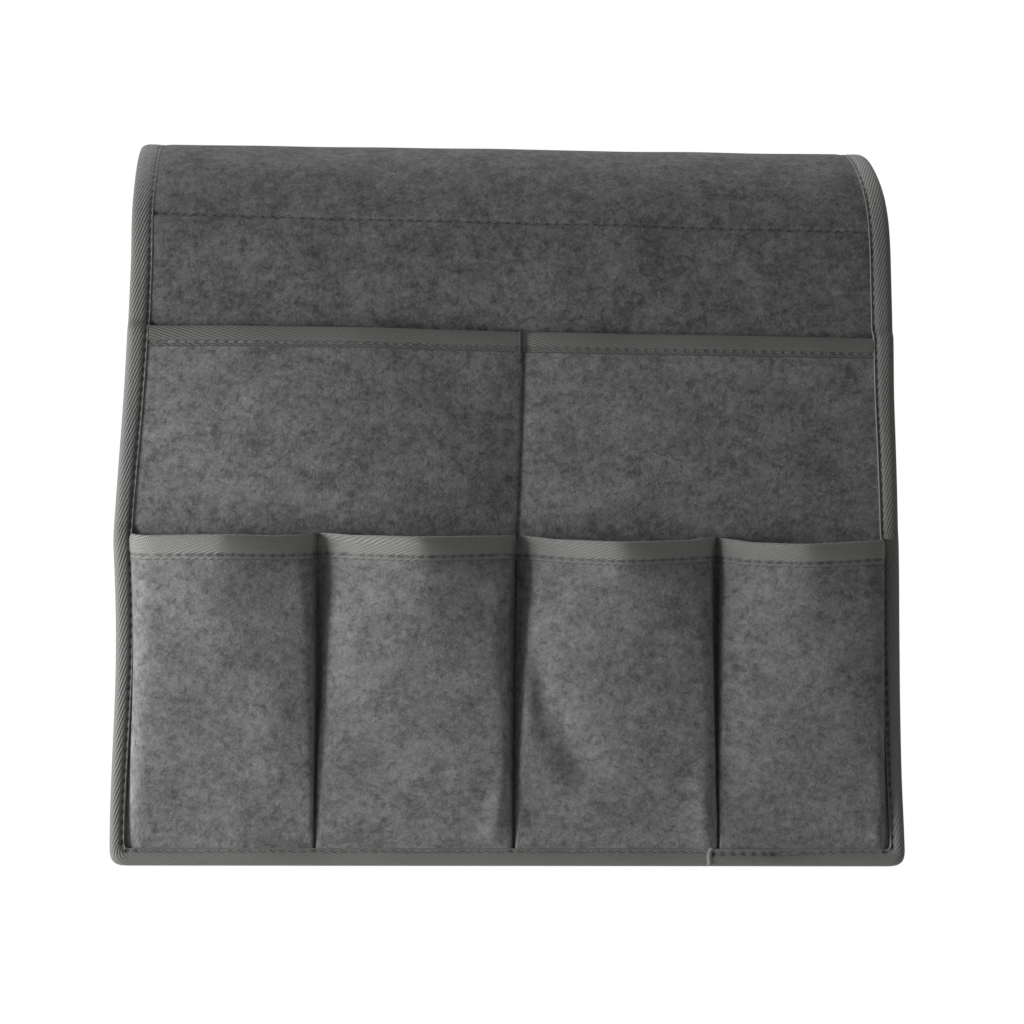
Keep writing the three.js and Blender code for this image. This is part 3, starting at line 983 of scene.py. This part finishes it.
# The pale cut end of the tape where it laps over its other end on the hem, with uneven yarn ends
def lap_end():
    seed = np.random.default_rng(FRAY_SEED)
    d = np.linspace(*FRAY_SPAN, FRAY_GRID[0])
    ragged = FRAY_RAG * seed.random(len(d))
    across = np.linspace(0, 1, FRAY_GRID[1])
    x = lap_line(d)[:, None] + (across - FRAY_OVERHANG) * FRAY_WIDTH - ragged[:, None] * (1 - across)
    s = d[:, None] + 0 * x
    lift = FRAY_LIFT * np.sin(math.pi * lerp(*FRAY_ARC, across)) + FRAY_FUZZ * seed.random(x.shape)
    bulge = HEM_BEAD * BEAD_LIFT * np.sin(math.pi * np.clip(d / HEM_TAPE_WIDTH, 0, 1))[:, None]
    height = sewn_stack(s) + bulge + FRAY_SEAT
    outer = drape(x, s, height + lift)
    inner = drape(x, s, height - FRAY_LIFT)
    return make_slab("edge_binding_lap_end", outer, inner, np.stack([x, s], -1), FRAY)


# Directions square to a grid of points
def face_normals(grid):
    down = np.gradient(grid, axis=0)
    across = np.gradient(grid, axis=1)
    normal = np.cross(down, across)
    normal /= np.maximum(np.linalg.norm(normal, axis=-1, keepdims=True), 1e-12)
    return normal


# The same directions, turned to the side of another
def facing(normals, direction):
    flip = np.where((normals * direction).sum(-1, keepdims=True) < 0, -1, 1)
    return normals * flip


# Direction outwards from the arm
def strip_out(along):
    _, _, out_y, out_z = arm_line(along)
    return np.stack([0 * out_y, out_y, out_z], -1)


# Tape over the mouth of the flat pocket panel: its ribs show most at the left end of each pocket

UPPER_LIP = 2.0 * MM
TAPE_END_GAP = 0.3 * MM
# How dark the painted shade of the mouth tape's sewn groove is between the needle holes
UPPER_GROOVE_SHADE = 0.15
BACK_PULL = 0.3
UPPER_RIBS = (0.2, 0.55)
UPPER_RIB_RUNS = (45 * MM, 12 * MM)


def upper_tape():
    across = places(-PANEL_SIDE + TAPE_END_GAP, PANEL_SIDE - TAPE_END_GAP, STITCH_STEP)
    width = UPPER_TAPE_WIDTH + 0 * across
    d, share, lift, groove = tape_section(width, UPPER_LIP, MOUTH_BEAD, MOUTH_BACK_BEAD)
    x = np.broadcast_to(across[:, None], d.shape)
    s = UPPER_MOUTH - d
    hung = s - panel_sag(x, s)
    drawn_in = seam_pull(x)
    front = panel_outer(x, s) - drawn_in
    row = drape(across, hung[:, SEWN_COLUMN], front[:, SEWN_COLUMN])
    # Painted shade in the sewn groove: dark at the needle holes, faint between them
    groove, lift = sewn_groove(groove, lift, needle_holes(row)[:, None], UPPER_GROOVE_SHADE)
    high, low, tuck = tape_heights(front, panel_inner(x, s) - BACK_PULL * drawn_in, share, lift)
    from_left_end = np.where(x < PANEL_SEAM, x + PANEL_SIDE, x - PANEL_SEAM)
    rib_run = np.where(x < PANEL_SEAM, *UPPER_RIB_RUNS)
    ribs = UPPER_RIBS[0] + UPPER_RIBS[1] * np.exp(-from_left_end / rib_run)
    outer = drape(x, hung, high)
    inner = drape(x, hung - tuck, low)
    uv = np.stack([x + UPPER_TAPE_CUT, d], -1)
    # Painted shade in the sewn groove and along the edge of the lip
    values = {"groove": np.maximum(groove, lip_shade(d, UPPER_TAPE_WIDTH)), "ribs": ribs}
    piece = make_slab("upper_pocket_mouth_tape", outer, inner, uv, UPPER_TWILL, values)
    return piece, (outer[:, SEWN_COLUMN], strip_out(s[:, SEWN_COLUMN]))


# Pleated pockets

WALL_POINTS = 9
ROUND_POINTS = 7
FRONT_POINTS = 44
POCKET_START = 2 * MM
POCKET_TOP_GAP = 0.8 * MM
POCKET_STEP = 3 * MM
CLOSE_START = 0.84
CLOSE_RUN = 0.16
HOLLOW_DEPTH = 0.1
FOOT_ROUNDING = 0.25
RIDGE_SOFTNESS = (0.12, 0.04)
RIDGE_POWERS = (2.3, 1.2)
BELLY_POWER = 1.2
FOLD_MARGINS = (0.12, 0.06)
RUN_LEVEL = 0.7
LOWER_LIP = 1.9 * MM
# How dark the painted shade of the pocket tapes' sewn groove is at the needle holes and between them
LOWER_GROOVE_SHADES = (0.9, 0.1)
LOWER_RIBS = (1.1, 0.2)
LOWER_RIB_START = 0.04
LOWER_RIB_RUN = 0.06


# A curve from one point to another that leaves towards a third point
def bend(a, pull, b, t):
    return (1 - t) ** 2 * a + 2 * t * (1 - t) * pull + t**2 * b


# Outline of a pocket across the strip at one level, from its left seam over its front to its right seam:
# places across, heights, share of the way between the creases, and share of the way up the belly
def pocket_outline(number, rise):
    pocket = POCKETS[number - 1]
    left, right = SEWN_LINES[number - 1] + SEAM_GAP, SEWN_LINES[number] - SEAM_GAP
    crease_left = left + np.interp(rise, CREASE_LEVELS, pocket["left"]) * MM
    crease_right = right - np.interp(rise, CREASE_LEVELS, pocket["right"]) * MM
    deep = [lerp(POCKET_SEWN, crease * MM, rise**CREASE_RISE) for crease in pocket["creases"]]
    closing = smooth((rise - CLOSE_START) / CLOSE_RUN)
    closed = [depth * (1 - share) * closing for depth, share in zip(deep, pocket["closing"])]
    deep = np.subtract(deep, closed)
    corners = np.array([(left, 0.0), (crease_left, deep[0]), (crease_right, deep[1]), (right, 0.0)])
    way = (corners[2] - corners[1]) / np.linalg.norm(corners[2] - corners[1])
    t = np.linspace(0, 1, WALL_POINTS)[:-1, None]
    r = np.linspace(0, 1, ROUND_POINTS)[:, None]
    f = np.linspace(0, 1, FRONT_POINTS)[1:-1, None]
    sides = []
    for side, forward in ((0, way), (1, -way)):
        sewn, crease = corners[3 * side], corners[1 + side]
        straight = lerp(sewn, crease, 0.5)
        pull = lerp(straight, np.array([crease[0], HOLLOW_DEPTH * crease[1]]), pocket["hollow"][side])
        wall_share, front_cut = pocket["rounding"][side]
        turn_start = bend(sewn, pull, crease, wall_share)
        turn_end = crease + forward * front_cut * MM * lerp(FOOT_ROUNDING, 1, rise)
        wall = bend(sewn, pull, crease, wall_share * t)
        sides.append((np.concatenate([wall, bend(turn_start, crease, turn_end, r)]), turn_end))
    front = lerp(sides[0][1], sides[1][1], f)
    outline = np.concatenate([sides[0][0], front, sides[1][0][::-1]])
    x, height = outline.T
    share = np.clip((x - crease_left) / (crease_right - crease_left), 0, 1)
    right_of_ridge = (share - RIDGE_PLACE) / (1 - RIDGE_PLACE)
    off_ridge = np.where(share < RIDGE_PLACE, 1 - share / RIDGE_PLACE, right_of_ridge)
    soft = lerp(*RIDGE_SOFTNESS, rise)
    off_ridge = np.sqrt(off_ridge**2 + soft**2) - soft
    front = 1 - off_ridge ** lerp(*RIDGE_POWERS, rise)
    belly = pocket["belly"] * MM * rise**BELLY_POWER + BELLY_KEEP * np.mean(closed)
    height = height + belly * front
    return x, height, share, front


# How far a pocket's soft folds raise its front
def fold_height(number, across, along):
    height = 0 * across
    for pocket, start, end, size, width in FOLDS:
        if pocket != number:
            continue
        start, way = np.array(start) * MM, np.subtract(end, start) * MM
        off_x, off_s = across - start[0], along - start[1]
        t = np.clip((off_x * way[0] + off_s * way[1]) / (way @ way), 0, 1)
        gap = np.hypot(off_x - t * way[0], off_s - t * way[1])
        height = height + size * MM * np.exp(-((gap / (width * MM)) ** 2))
    return height


# Points of a pocket's wall at some levels, each set off from its outer face by some heights
def pocket_points(number, along, offset):
    pocket = POCKETS[number - 1]
    hang_left, hang_right, hang_front = pocket["hang"]
    rows = []
    for s, off in zip(along, offset):
        rise = float(np.clip((s - POCKET_FOOT) / (LOWER_MOUTH - POCKET_FOOT), 0, 1))
        x, height, share, front = pocket_outline(number, rise)
        inside = smooth(share / FOLD_MARGINS[0]) * smooth((1 - share) / FOLD_MARGINS[1])
        height = height + fold_height(number, x, s) * inside
        step_x, step_h = np.gradient(x), np.gradient(height)
        size = np.hypot(step_x, step_h)
        out = np.clip(height / (min(pocket["creases"]) * MM), 0, 1)
        hang = lerp(hang_left, hang_right, share) + hang_front * front
        base = panel_outer(x, s + 0 * x)
        sunk = s - rise**2 * hang * MM * out
        rows.append(drape(x - off * step_h / size, sunk, base + height + off * step_x / size))
    return np.array(rows)


# Length along a pocket's wall from its left seam, at one level
def pocket_run(number):
    x, height, _, _ = pocket_outline(number, RUN_LEVEL)
    return line_length(np.stack([x, height], -1))


def lower_pocket(number):
    along = places(POCKET_START, LOWER_MOUTH - POCKET_TOP_GAP, POCKET_STEP)
    outer = pocket_points(number, along, 0 * along)
    inner = pocket_points(number, along, 0 * along - POCKET_FELT)
    u, v = np.meshgrid(pocket_run(number) + POCKET_CUT_STEP * number, along, indexing="xy")
    uv = np.stack([u + POCKET_CUT, v], -1)
    return make_slab(f"lower_pocket_felt_{number}", outer, inner, uv, POCKET_FELT_LOOK)


def lower_tape(number):
    section = tape_section(LOWER_TAPE_WIDTH, LOWER_LIP, MOUTH_BEAD, MOUTH_BACK_BEAD)
    d, share, lift, groove = (np.ravel(part) for part in section)
    high, low, tuck = tape_heights(0, -POCKET_FELT, share, lift)
    outer = pocket_points(number, LOWER_MOUTH - d, high)
    inner = pocket_points(number, LOWER_MOUTH - d - tuck, low)
    u, v = np.meshgrid(pocket_run(number) + LOWER_TAPE_CUT_STEP * number, d, indexing="xy")
    uv = np.stack([u, LOWER_TAPE_CUT - v], -1)
    row = outer[SEWN_COLUMN]
    # Painted shade: dark at the needle holes of the sewn groove, faint between them, and along the lip's
    # edge
    dark = groove[:, None] * np.where(needle_holes(row), *LOWER_GROOVE_SHADES)
    _, _, between, _ = pocket_outline(number, 1.0)
    past_ridge = smooth((between - RIDGE_PLACE + LOWER_RIB_START) / LOWER_RIB_RUN)
    ribs = lerp(*LOWER_RIBS, past_ridge) + 0 * dark
    values = {"groove": np.maximum(dark, lip_shade(v, LOWER_TAPE_WIDTH)), "ribs": ribs}
    piece = make_slab(f"lower_pocket_mouth_tape_{number}", outer, inner, uv, LOWER_TWILL, values)
    return piece, (row, facing(face_normals(outer)[SEWN_COLUMN], np.array([0, -1, 0])))


# Rows of stitches across the strip, down the dividing seam and in the bar tack

LINING_HEM = 4 * MM
LINING_ROWS = [LINING_START + LINING_HEM, LINING_END - LINING_HEM]
ROW_END_GAP = 1 * MM
ROW_POINTS = 300
SEAM_POINTS = 200
SEAM_FOOT = 12 * MM
TACK_STEP = 0.55 * MM
TACK_TOP_GAP = 0.4 * MM
TACK_SPAN = (-3.1 * MM, -0.1 * MM)
TACK_POINTS = 12
TACK_HEIGHT = 0.45 * MM
TACK_PITCH = 2.4 * MM
TACK_LENGTH = 1.9 * MM


def cross_row(along):
    x = np.linspace(-PANEL_SIDE + ROW_END_GAP, PANEL_SIDE - ROW_END_GAP, ROW_POINTS)
    s = along + row_tilt(x)
    return drape(x, s, FELT_TOP - ROW_SUNK), strip_out(s)


def seam_row(across, low, high):
    s = np.linspace(low, high, SEAM_POINTS)
    x = across + 0 * s
    return drape(x, s, panel_outer(x, s) - ROW_SUNK), strip_out(s)


# A bar of close stitches that ties off the dividing seam on the mouth tape, just left of the seam
def bar_tack(name):
    rows = []
    for s in np.arange(UPPER_MOUTH - UPPER_TAPE_WIDTH, UPPER_MOUTH - TACK_TOP_GAP, TACK_STEP):
        x = PANEL_SEAM + np.linspace(*TACK_SPAN, TACK_POINTS)
        along = s + 0 * x
        height = panel_outer(x, along) - seam_pull(x) + TACK_HEIGHT
        rows.append((drape(x, along - panel_sag(x, along), height), strip_out(along)))
    return make_stitches(name, rows, SEAM_THREAD, pitch=TACK_PITCH, length=TACK_LENGTH)


# Build the pieces, hide the model's parts that they take the place of, and attach some of them to the front
# drop.

FRONT_BEND = dict(start=(0, -ARM_FLAT / 2, 0), end=(0, -ARM_SIDE, -ARM_RADIUS))
REAR_BEND = dict(start=(0, ARM_FLAT / 2, 0), end=(0, ARM_SIDE, -ARM_RADIUS))


# One half of the strip, with its lining, its edge tape and their stitches
def make_half(end, felt_span, lining_span, sewn_row, bend):
    is_front = end == "front"
    felt = cloth_half(f"main_felt_{end}", *felt_span, [sewn_row])
    lining = lining_half(f"grip_lining_cloth_{end}", *lining_span)
    dots = grip_dots(f"grip_dots_{end}", *lining_span)
    tape, tape_row = edge_tape(f"edge_binding_{end}", is_front)
    edge_thread = make_stitches(f"edge_stitches_{end}", [tape_row], TAPE_THREAD, radius=EDGE_THREAD)
    lining_thread = make_stitches(f"lining_stitches_{end}", [cross_row(sewn_row)], SEAM_THREAD)
    for piece in (felt, lining, dots, tape, edge_thread, lining_thread):
        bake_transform(piece)
    if is_front:
        lap = lap_end()
        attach(lap, "front_drop")
    return felt, lining, tape


front_spans = (FELT_INSET, MID_TOP), (LINING_START, MID_TOP)
main_front, lining_front, tape_front = make_half("front", *front_spans, LINING_ROWS[0], FRONT_BEND)
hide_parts("main_panel_front", "main_panel_top")
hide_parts("grip_lining_front", "grip_lining_top")
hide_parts("edge_tape_front", "edge_tape_top_left", "edge_tape_top_right")

rear_spans = (MID_TOP, STRIP_LENGTH - FELT_INSET), (MID_TOP, LINING_END)
main_rear, lining_rear, tape_rear = make_half("rear", *rear_spans, LINING_ROWS[1], REAR_BEND)
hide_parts("main_panel_rear")
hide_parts("grip_lining_rear")
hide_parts("edge_tape_rear")

panel = upper_panel()
panel_tape, panel_tape_row = upper_tape()
centre_row = seam_row(PANEL_SEAM, SEAM_FOOT, UPPER_MOUTH - UPPER_TAPE_WIDTH)
panel_sewn = [
    panel_tape,
    make_stitches("upper_pocket_stitches", [panel_tape_row], TAPE_THREAD),
    make_stitches("upper_pocket_seam_stitches", [centre_row], SEAM_THREAD),
    bar_tack("upper_pocket_bar_tack"),
]
for piece in (panel, *panel_sewn):
    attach(piece, "front_drop")
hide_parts("upper_pocket_panel")
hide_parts("upper_pocket_tape")

for number in range(1, len(POCKETS) + 1):
    felt = lower_pocket(number)
    tape, tape_row = lower_tape(number)
    thread = make_stitches(f"lower_pocket_stitches_{number}", [tape_row], TAPE_THREAD)
    for piece in (felt, tape, thread):
        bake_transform(piece)
    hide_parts(f"lower_pocket_{number}")
    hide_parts(f"lower_pocket_tape_{number}")


# Floor, light and camera

FLOOR_HEIGHT = -0.65
FLOOR_SIDE = 4.0
FLOOR_NEAR = -4.0
FLOOR_FAR = 1.35


def make_floor():
    mesh = bpy.data.meshes.new("floor")
    x = FLOOR_SIDE
    corners = [(-x, FLOOR_NEAR), (x, FLOOR_NEAR), (x, FLOOR_FAR), (-x, FLOOR_FAR)]
    mesh.from_pydata([(*corner, FLOOR_HEIGHT) for corner in corners], [], [(0, 1, 2, 3)])
    mesh.materials.append(floor_material())
    floor = bpy.data.objects.new("floor", mesh)
    bpy.context.scene.collection.objects.link(floor)


# Soft light all round, which the camera sees as plain white
def make_world(light, shown):
    world = bpy.data.worlds.new("studio")
    world.use_nodes = True
    tree = world.node_tree
    tree.nodes.clear()
    seen = add_node(tree, "ShaderNodeLightPath").outputs["Is Camera Ray"]
    soft = add_node(tree, "ShaderNodeBackground", {"Color": (1, 1, 1, 1), "Strength": light})
    white = add_node(tree, "ShaderNodeBackground", {"Color": (1, 1, 1, 1), "Strength": shown})
    both = add_node(tree, "ShaderNodeMixShader", {0: seen, 1: soft.outputs[0], 2: white.outputs[0]})
    add_node(tree, "ShaderNodeOutputWorld", {"Surface": both.outputs[0]})
    bpy.context.scene.world = world


def make_light(name, place, target, size, power):
    lamp = bpy.data.lights.new(name, "AREA")
    lamp.shape = "DISK"
    lamp.size = size
    lamp.energy = power
    light = bpy.data.objects.new(name, lamp)
    light.location = place
    light.rotation_euler = (Vector(target) - Vector(place)).to_track_quat("-Z", "Y").to_euler()
    bpy.context.scene.collection.objects.link(light)


def make_camera(place, yaw, pitch, lens):
    data = bpy.data.cameras.new("camera")
    data.lens = lens
    data.sensor_width = 36
    camera = bpy.data.objects.new("camera", data)
    camera.matrix_world = Matrix.LocRotScale(Vector(place), Euler((math.pi / 2 + pitch, 0, -yaw)), None)
    bpy.context.scene.collection.objects.link(camera)
    bpy.context.scene.camera = camera


make_floor()
make_world(light=0.22, shown=1.0)
make_light("key", place=(-1.057, -0.403, -0.200), target=(0, -0.1, -0.18), size=0.4, power=19.5)
make_light("overhead", place=(0.0, 0.2, 1.0), target=(0, 0, -0.05), size=0.8, power=11.0)
make_light("rear_fill", place=(0.4, 2.0, -0.15), target=(0, 0.1, -0.15), size=0.9, power=30)
make_camera(place=(-0.048, -1.100, -0.344), yaw=math.radians(2.75), pitch=math.radians(9.648), lens=85.0)
bpy.context.scene.view_settings.view_transform = "Standard"
